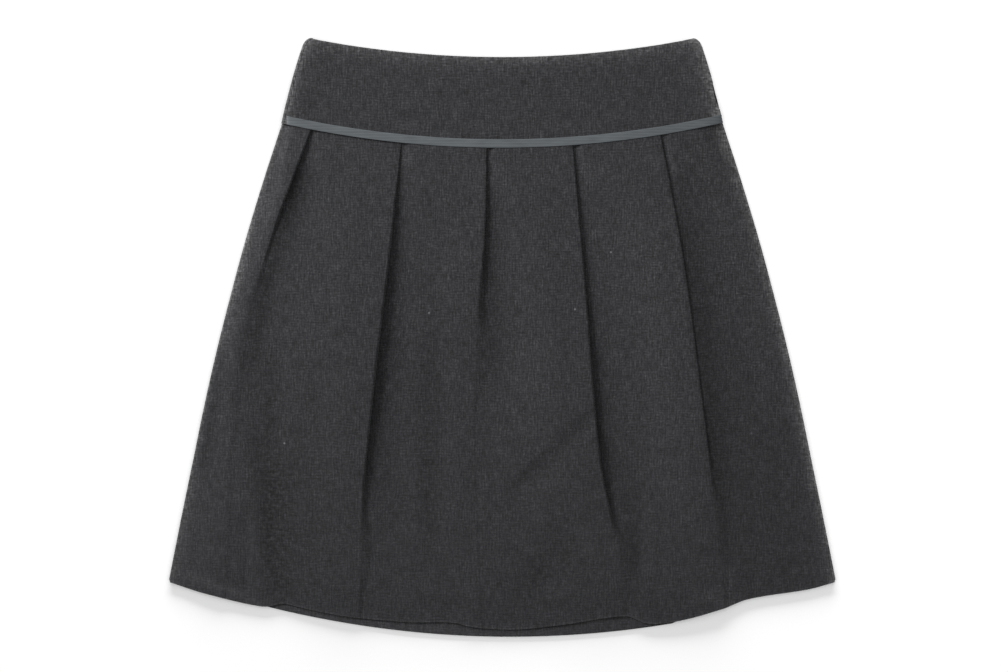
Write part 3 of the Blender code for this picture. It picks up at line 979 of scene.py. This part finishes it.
@dataclass(frozen=True, kw_only=True)
class Suiting(Finish):
    """Matt charcoal melange of wool blend, with a short napped face and painted light and shade."""

    groups: SharedGroups
    tint: Colour = (0.0182, 0.0182, 0.0199, 1.0)
    streaks: float = 2.80
    grain: float = 1.1
    bars: float = 0.155
    mottle: float = 0.6
    flecks: float = 3.5
    pitch: float = 0.00055
    thread_share: float = 0.6
    # the pale colour of the painted highlights
    painted_highlight_colour: Colour = (1.02, 1.01, 0.92, 1.0)
    tuft: Pair = (0.0040, 0.0028)
    painted_light_strength: tuple[Pair, Pair] = ((0.3, 0.5), (0.7, 1.5))  # the tufts' noise and how strong the painted light and shade are
    roughness: float = 0.92
    gloss: float = 0.18
    sheen: float = 0.10
    sheen_roughness: float = 0.4
    relief: float = 0.45
    relief_depth: float = 0.00012

    def pattern(self, bench: NodeBench) -> Surface:
        """Adds the fibres, the weave, and the painted highlights and painted shade of the tone attribute.

        Args:
            bench: Where the nodes go.

        Returns:
            The surface.
        """
        place = bench.cloth_place()
        names = ("tint", "streaks", "grain", "bars", "mottle", "flecks")
        shares = {name.capitalize(): getattr(self, name) for name in names}
        fibres = self.groups.melange.place(bench, Place=place, **shares)
        weave = self.groups.weave.place(bench, Place=place, Pitch=self.pitch)
        # painted light and shade: the tone, broken up by tufts; a pale painted highlight above 0, painted
        # shade below
        tone = bench.add("ShaderNodeAttribute", {"attribute_name": PAINTED_TONE}).outputs["Fac"]
        tufts = bench.ramp(bench.noise(place, self.tuft, 1.0), *self.painted_light_strength)
        painted_light_and_shade = bench.maths("MULTIPLY", tone, tufts)
        shaded = bench.maths("ADD", bench.maths("MINIMUM", painted_light_and_shade, 0.0), 1.0)
        cloth = bench.tinted(fibres.outputs["Colour"], shaded)
        painted_highlight_colour = bench.tinted(self.painted_highlight_colour[:3], bench.maths("MAXIMUM", painted_light_and_shade, 0.0))
        blend = {"operation": "MULTIPLY_ADD"}
        colour = bench.add("ShaderNodeVectorMath", blend, fibres.outputs["Colour"], painted_highlight_colour, cloth)
        threads = (weave.outputs["Height"], self.thread_share, fibres.outputs["Fibres"])
        return Surface(colour.outputs[0], self.roughness, bench.maths("MULTIPLY_ADD", *threads))


@dataclass(frozen=True, kw_only=True)
class Ribbon(Finish):
    """Fine ribbed ribbon, grey-blue, with a soft sheen. Its ribs run along it."""

    tint: Colour = (0.049, 0.056, 0.061, 1.0)
    rib: float = 0.0024
    rib_share: float = 0.10
    rib_relief: float = 0.5
    thread: Pair = (0.010, 0.00045)
    thread_share: float = 0.55
    patch: Pair = (0.020, 0.006)
    patch_share: float = 0.60
    painted_shade_right: tuple[Pair, Pair] = ((0.09, 0.0), (0.17, -0.16))  # x and the change of tone: painted shade, darker towards the right end
    roughness: float = 0.48
    roughness_run: float = 0.15
    gloss: float = 0.4
    sheen: float = 0.08

    def pattern(self, bench: NodeBench) -> Surface:
        """Adds the ribs, the threads, the patches and the painted shade towards the right end.

        Args:
            bench: Where the nodes go.

        Returns:
            The surface.
        """
        place = bench.cloth_place()
        parts = bench.add("ShaderNodeSeparateXYZ", Vector=place)
        ribs = bench.maths("SINE", bench.maths("MULTIPLY", parts.outputs["Y"], 2 * math.pi / self.rib))
        threads = bench.noise(place, self.thread, 1.5)
        tone = bench.maths("MULTIPLY_ADD", ribs, self.rib_share, 1.0)
        tone = bench.varied(tone, threads, self.thread_share)
        tone = bench.varied(tone, bench.noise(place, self.patch, 2.0), self.patch_share)
        tone = bench.maths("ADD", bench.ramp(parts.outputs["X"], *self.painted_shade_right), tone)
        roughness = bench.maths("MULTIPLY_ADD", threads, self.roughness_run, self.roughness)
        height = bench.maths("MULTIPLY_ADD", ribs, self.rib_relief, threads)
        return Surface(bench.tinted(self.tint[:3], tone), roughness, height)


@dataclass(frozen=True, kw_only=True)
class ZipTape(Finish):
    """Black woven tape."""

    groups: SharedGroups
    tint: Colour = (0.012, 0.012, 0.013, 1.0)
    roughness: float = 0.8
    pitch: float = 0.0007
    thread_share: float = 0.5

    def pattern(self, bench: NodeBench) -> Surface:
        """Adds the weave, whose raised threads look paler."""
        height = self.groups.weave.place(bench, Place=bench.cloth_place(), Pitch=self.pitch).outputs["Height"]
        tone = bench.varied(1.0, height, self.thread_share)
        return Surface(bench.tinted(self.tint[:3], tone), self.roughness, height)


@dataclass(frozen=True, kw_only=True)
class PaleFloor(Finish):
    """Plain matt white."""

    tint: Colour = (0.93, 0.93, 0.93, 1.0)
    roughness: float = 1.0
    gloss: float = 0.0


# ---- Sheets ----
@dataclass(frozen=True)
class SheetCut:
    """The flat size that a piece of cloth was cut to."""

    width: float
    length: float
    area: float


@dataclass
class ClothSheet:
    """A cloth wall whose middle is a grid of points, the first row uppermost.

    It stands for a CAD node.
    """

    name: str
    node: str
    slot: str
    rows: list[list[Point]]
    wall: float
    finish: Finish
    edge_rounding: float
    edge_steps: int = 2
    sharp_angle: float = math.radians(60)

    def build(self) -> Piece:
        """Makes the object, with its cloth UV map, its wall and its rounded edges.

        Returns:
            The object.
        """
        bm = bmesh.new()
        columns, last_row = len(self.rows[0]), len(self.rows) - 1
        uv_layer = bm.loops.layers.uv.new(CLOTH_UV)
        bmesh.ops.create_grid(bm, x_segments=columns - 1, y_segments=last_row, size=0.5)
        # the painted light and shade, which the suiting's shader reads
        tone_layer = bm.verts.layers.float.new(PAINTED_TONE)
        for vert in bm.verts:
            column = round((vert.co.x + 0.5) * (columns - 1))
            row = round((0.5 - vert.co.y) * last_row)
            vert.co = self.rows[row][column]
            vert[tone_layer] = FORM.tone(vert.co.x, vert.co.y)
        for face in bm.faces:
            face.smooth = True
            for loop in face.loops:
                loop[uv_layer].uv = loop.vert.co.xy
        mesh = bpy.data.meshes.new(self.name)
        bm.to_mesh(mesh)
        bm.free()
        mesh.materials.append(self.finish.material(self.name))
        piece = bpy.data.objects.new(self.name, mesh)
        bpy.context.scene.collection.objects.link(piece)
        wall = piece.modifiers.new("wall", "SOLIDIFY")
        wall.thickness = self.wall
        wall.offset = 0.0
        if self.edge_rounding:
            rounding = piece.modifiers.new("rounded edges", "BEVEL")
            rounding.width = self.edge_rounding
            rounding.segments = self.edge_steps
            rounding.limit_method = "ANGLE"
            rounding.angle_limit = self.sharp_angle
        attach(piece, "root")
        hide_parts(self.node)
        LOG.info("%s stands for %s", piece.name, self.node)
        return piece


# ---- Sub-assemblies ----
@dataclass
class SkirtPanels:
    """The plain back panel, which wraps round both side folds, and the pleated front panel."""

    form: SkirtForm
    finish: Suiting
    back_cut: SheetCut = SheetCut(0.560, 0.420, 0.193)
    front_cut: SheetCut = SheetCut(0.700, 0.420, 0.224)
    edge_rounding: float = 0.00015
    back_columns: int = 70
    front_row_count: int = 104
    back_row_count: int = 64
    seam_band: float = 0.012
    hem_band_start: float = 0.988
    seam_rows: int = 3
    hem_rows: int = 5

    def row_stops(self, count: int) -> list[float]:
        """Rows from the seam to the hem, closer together at both ends."""
        stops = (0.0, self.seam_band, self.hem_band_start, 1.0)
        return spaced(stops, (self.seam_rows, count, self.hem_rows))

    def build_back(self) -> Piece:
        """The back panel, from its side seam on the front, under the skirt, to the other one.

        Returns:
            The piece.
        """
        form, rows = self.form, []
        back_level = form.level(form.panel_wall, 0)
        for v in self.row_stops(self.back_row_count):
            half = form.panel_half(v)
            left, right = (
                form.side_bend(edge, back_level, lambda x: form.front_base(x, v, half))
                for edge in (-half, half)
            )
            flat = spaced((left[-1][0], right[-1][0]), (self.back_columns,))[1:-1]
            section = left + [(x, back_level) for x in flat] + right[::-1]
            rows.append([(x, form.panel_y(x, v, half, form.back_hem_y), z) for x, z in section])
        dress = (form.panel_wall, self.finish, self.edge_rounding)
        piece = ClothSheet("back_panel_cloth", "back_panel", "suiting", rows, *dress).build()
        return piece

    def build_front(self) -> Piece:
        """The front panel with its five pleats.

        Returns:
            The piece.
        """
        form, rows = self.form, []
        for v in self.row_stops(self.front_row_count):
            half = form.panel_half(v)
            row = []
            for x, up in form.front_section(v, half):
                y = form.panel_y(x, v, half, form.front_hem.at)
                row.append((x, y, form.front_base(x, v, half) + up))
            rows.append(row)
        dress = (form.panel_wall, self.finish, self.edge_rounding)
        piece = ClothSheet("front_panel_cloth", "front_panel", "suiting", rows, *dress).build()
        return piece


@dataclass
class WaistYoke:
    """The front and back yoke, each two layers of suiting."""

    form: SkirtForm
    finish: Suiting
    back_cut: SheetCut = SheetCut(0.375, 0.092, 0.0270)
    front_cut: SheetCut = SheetCut(0.364, 0.091, 0.0265)
    edge_rounding: float = 0.0005
    columns: int = 90
    rows_down: int = 44
    corner_rows: tuple[float, ...] = (0.0, 0.004, 0.012, 0.024, 0.040, 0.062, 0.09)

    def row_stops(self) -> list[float]:
        """Rows from the waist to the seam, closer together at the rounded corners."""
        return list(self.corner_rows) + spaced((self.corner_rows[-1], 1.0), (self.rows_down,))[1:]

    def build_back(self) -> Piece:
        """The back yoke, which wraps round the left side fold.

        Returns:
            The piece.
        """
        form, rows = self.form, []
        back_level = form.level(form.yoke_wall, 0)
        for v in self.row_stops():
            half = form.yoke_half(v)
            left = form.side_bend(-half, back_level, lambda x: form.front_yoke_level(x, v))
            flat = spaced((left[-1][0], half), (self.columns,))[1:]
            section = left + [(x, back_level) for x in flat]
            rows.append([(x, form.yoke_y(x, v), z) for x, z in section])
        dress = (form.yoke_wall, self.finish, self.edge_rounding)
        return ClothSheet("back_yoke_cloth", "back_yoke", "suiting", rows, *dress).build()

    def build_front(self) -> Piece:
        """The front yoke.

        Returns:
            The piece.
        """
        form, rows = self.form, []
        for v in self.row_stops():
            xs = spaced(form.front_yoke_ends(v), (self.columns,))
            rows.append([(x, form.yoke_y(x, v), form.front_yoke_level(x, v)) for x in xs])
        dress = (form.yoke_wall, self.finish, self.edge_rounding)
        return ClothSheet("front_yoke_cloth", "front_yoke", "suiting", rows, *dress).build()


@dataclass
class RibbonTrim:
    """The ribbon along the lower edge of the front yoke."""

    form: SkirtForm
    finish: Ribbon
    width: float = 0.0070
    wall: float = 0.0004
    lift: float = 0.00008
    left_inset: float = 0.0022
    right_inset: float = 0.0012
    edge_rounding: float = 0.0002
    columns: int = 130
    across: int = 8

    def build(self) -> Piece:
        """The ribbon, laid on the yoke.

        Returns:
            The piece.
        """
        form = self.form
        left, right = form.front_yoke_ends(1.0)
        above = (form.yoke_wall + self.wall) / 2 + self.lift
        xs = spaced((left + self.left_inset, right - self.right_inset), (self.columns,))
        rows = []
        for k in range(self.across + 1):
            up = self.width * (1.0 - k / self.across) + form.gap / 2
            rows.append([(x, form.yoke_seam.y(x) + up, form.front_yoke_level(x, 1.0) + above) for x in xs])
        dress = (self.wall, self.finish, self.edge_rounding)
        return ClothSheet("ribbon", "front_trim", "ribbon", rows, *dress).build()


@dataclass
class SideZip:
    """The closed zip's tape inside the right side fold, with its coil along the middle."""

    form: SkirtForm
    finish: ZipTape
    length: float = 0.175
    width: float = 0.0050
    wall: float = 0.0006
    cad_wall: float = 0.0010
    top_inset: float = 0.004
    side_inset: float = 0.0028
    slit_inset: float = 0.0004
    sew_start: float = 0.010
    sew_run: float = 0.008
    drop_start: float = 0.001
    drop_run: float = 0.012
    rows_down: int = 80
    columns: int = 10
    coil_height: float = 0.0003
    edge_rounding: float = 0.0

    def build(self) -> Piece:
        """The tape.

        Returns:
            The piece.
        """
        form, rows = self.form, []
        top_y = WAIST_END[1] - self.top_inset
        high = form.yoke_wall + form.gap + self.cad_wall / 2
        low = form.panel_wall + form.gap + self.cad_wall / 2
        for k in range(self.rows_down + 1):
            y = top_y - self.length * k / self.rows_down
            below = SEAM_END[1] - y
            inset = mix(self.slit_inset, self.side_inset, ease((below + self.sew_start) / self.sew_run))
            right = form.outline.at(y) - inset
            z = mix(high, low, ease((below - self.drop_start) / self.drop_run))
            row = []
            for x in spaced((right - self.width, right), (self.columns,)):
                middle = (x - right + self.width / 2) / (self.width / 4)
                row.append((x, y, z + self.coil_height * math.exp(-(middle**2)) - self.coil_height / 2))
            rows.append(row)
        dress = (self.wall, self.finish, self.edge_rounding)
        return ClothSheet("zip_tape", "side_zip", "zip_tape", rows, *dress).build()


@dataclass(frozen=True)
class Lamp:
    """A soft box that faces the skirt. Its azimuth is how far left of the waist it stands."""

    name: str
    azimuth: float
    height: float
    size: Pair
    share: float  # how bright it makes the floor at the middle
    distance: float = 3.5

    def build(self, lit: bpy.types.Collection) -> None:
        """Makes the lamp.

        Args:
            lit: The pieces that it lights.
        """
        lamp = bpy.data.lights.new(self.name, "AREA")
        lamp.shape = "RECTANGLE"
        lamp.size, lamp.size_y = self.size
        facing = math.sin(self.height) * PaleFloor().tint[0]
        lamp.energy = self.share * (math.pi * self.distance) ** 2 / facing
        box = bpy.data.objects.new(self.name, lamp)
        left, ahead = math.sin(self.azimuth), math.cos(self.azimuth)
        flat, up = math.cos(self.height) * self.distance, math.sin(self.height) * self.distance
        place = Vector((-left * flat, ahead * flat, up))
        box.location = place
        box.rotation_euler = (-place).to_track_quat("-Z", "Y").to_euler()
        box.light_linking.receiver_collection = lit
        bpy.context.scene.collection.objects.link(box)


@dataclass
class Studio:
    """The pale floor, the soft light and the camera, straight above the skirt."""

    floor_side: float = 6.0
    millimetres_per_pixel: float = 0.827
    frame_width: int = 1008
    lens: float = 85.0
    sensor: float = 36.0
    centre: Pair = (0.0014, 0.0015)
    subject_height: float = 0.004
    sky_share: float = 0.72
    key: Lamp = Lamp("key", math.radians(56), math.radians(24), size=(1.3, 1.5), share=0.82)
    low: Lamp = Lamp("top", 0.0, math.radians(6.2), size=(3.2, 0.76), share=0.42)

    def build(self) -> None:
        """Makes the floor, the world, the light and the camera."""
        self.build_floor()
        self.build_light()
        self.build_camera()
        bpy.context.scene.view_settings.view_transform = "Standard"

    def build_floor(self) -> None:
        """A flat floor at height 0."""
        bm = bmesh.new()
        bmesh.ops.create_grid(bm, x_segments=1, y_segments=1, size=self.floor_side / 2)
        mesh = bpy.data.meshes.new("floor")
        bm.to_mesh(mesh)
        bm.free()
        mesh.materials.append(PaleFloor().material("floor"))
        floor = bpy.data.objects.new("floor", mesh)
        bpy.context.scene.collection.objects.link(floor)

    def build_light(self) -> None:
        """An even sky, a key lamp for the skirt and a low lamp for its shadow on the floor."""
        world = bpy.data.worlds.new("studio")
        world.use_nodes = True
        background = world.node_tree.nodes["Background"]
        background.inputs["Color"].default_value = (1.0, 1.0, 1.0, 1.0)
        background.inputs["Strength"].default_value = self.sky_share / PaleFloor().tint[0]
        bpy.context.scene.world = world
        cloth, ground = bpy.data.collections.new("cloth"), bpy.data.collections.new("ground")
        for piece in bpy.context.scene.objects:
            if piece.type == "MESH":
                (ground if piece.name == "floor" else cloth).objects.link(piece)
        self.key.build(cloth)
        self.low.build(ground)

    def build_camera(self) -> None:
        """A camera that looks straight down."""
        lens = bpy.data.cameras.new("camera")
        lens.lens = self.lens
        lens.sensor_width = self.sensor
        seen = self.millimetres_per_pixel * self.frame_width / 1000.0
        camera = bpy.data.objects.new("camera", lens)
        camera.location = (*self.centre, self.lens / self.sensor * seen + self.subject_height)
        bpy.context.scene.collection.objects.link(camera)
        bpy.context.scene.camera = camera


def main() -> None:
    """Builds the skirt's pieces in order, then the studio."""
    logging.basicConfig(level=logging.INFO, format="%(message)s")
    groups = SharedGroups()
    suiting = Suiting(groups=groups)
    panels = SkirtPanels(FORM, suiting)
    panels.build_back()
    panels.build_front()
    yoke = WaistYoke(FORM, suiting)
    back_yoke = yoke.build_back()
    front_yoke = yoke.build_front()
    ribbon = RibbonTrim(FORM, Ribbon()).build()
    zip_tape = SideZip(FORM, ZipTape(groups=groups)).build()
    Studio().build()


if __name__ == "__main__":
    main()
